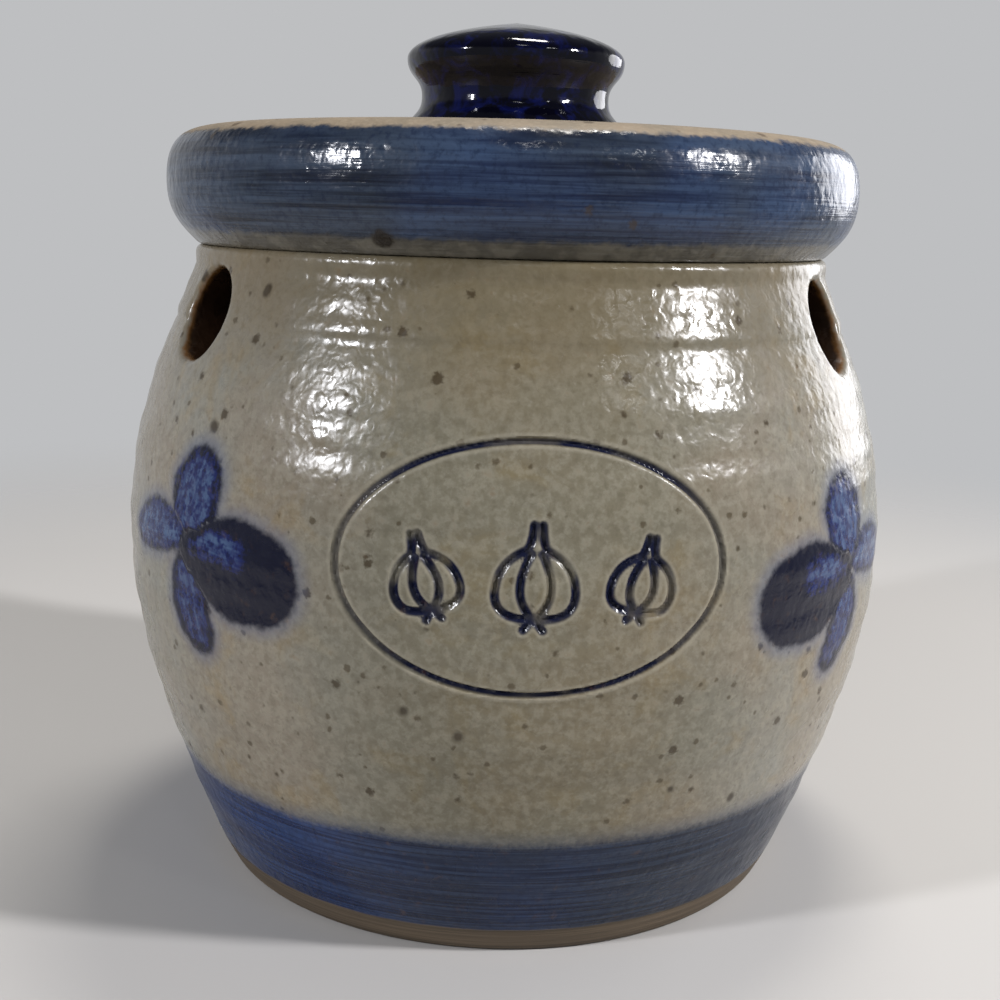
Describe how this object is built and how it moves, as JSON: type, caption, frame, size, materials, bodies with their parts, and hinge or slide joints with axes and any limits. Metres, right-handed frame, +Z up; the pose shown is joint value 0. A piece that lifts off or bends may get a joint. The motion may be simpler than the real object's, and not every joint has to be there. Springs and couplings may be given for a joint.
{
  "type": "garlic keeper",
  "caption": "Vented round stoneware jar with a lift-off knobbed lid, for keeping garlic dry and aired on a kitchen shelf.",
  "frame": {"origin": "middle of the foot, on the surface that the keeper stands on", "axes": "+Z up the turning axis towards the knob, -Y towards the incised oval on the belly, +X to the right of the oval as seen"},
  "size_m": [0.12, 0.12, 0.1313],
  "materials": {
    "salt_glazed_stoneware": "grey salt glaze with brown specks",
    "lid_stoneware": "cobalt slip under salt glaze, tan on top",
    "cobalt_glaze": "glossy near-black cobalt"
  },
  "bodies": {
    "jar": {"jar": "salt_glazed_stoneware"},
    "lid": {"lid": "lid_stoneware", "knob": "cobalt_glaze"}
  },
  "joints": [
    {"name": "lid_lift", "type": "slide", "parent": "jar", "child": "lid", "axis": [0, 0, 1], "range_m": [0, 0.12]}
  ]
}
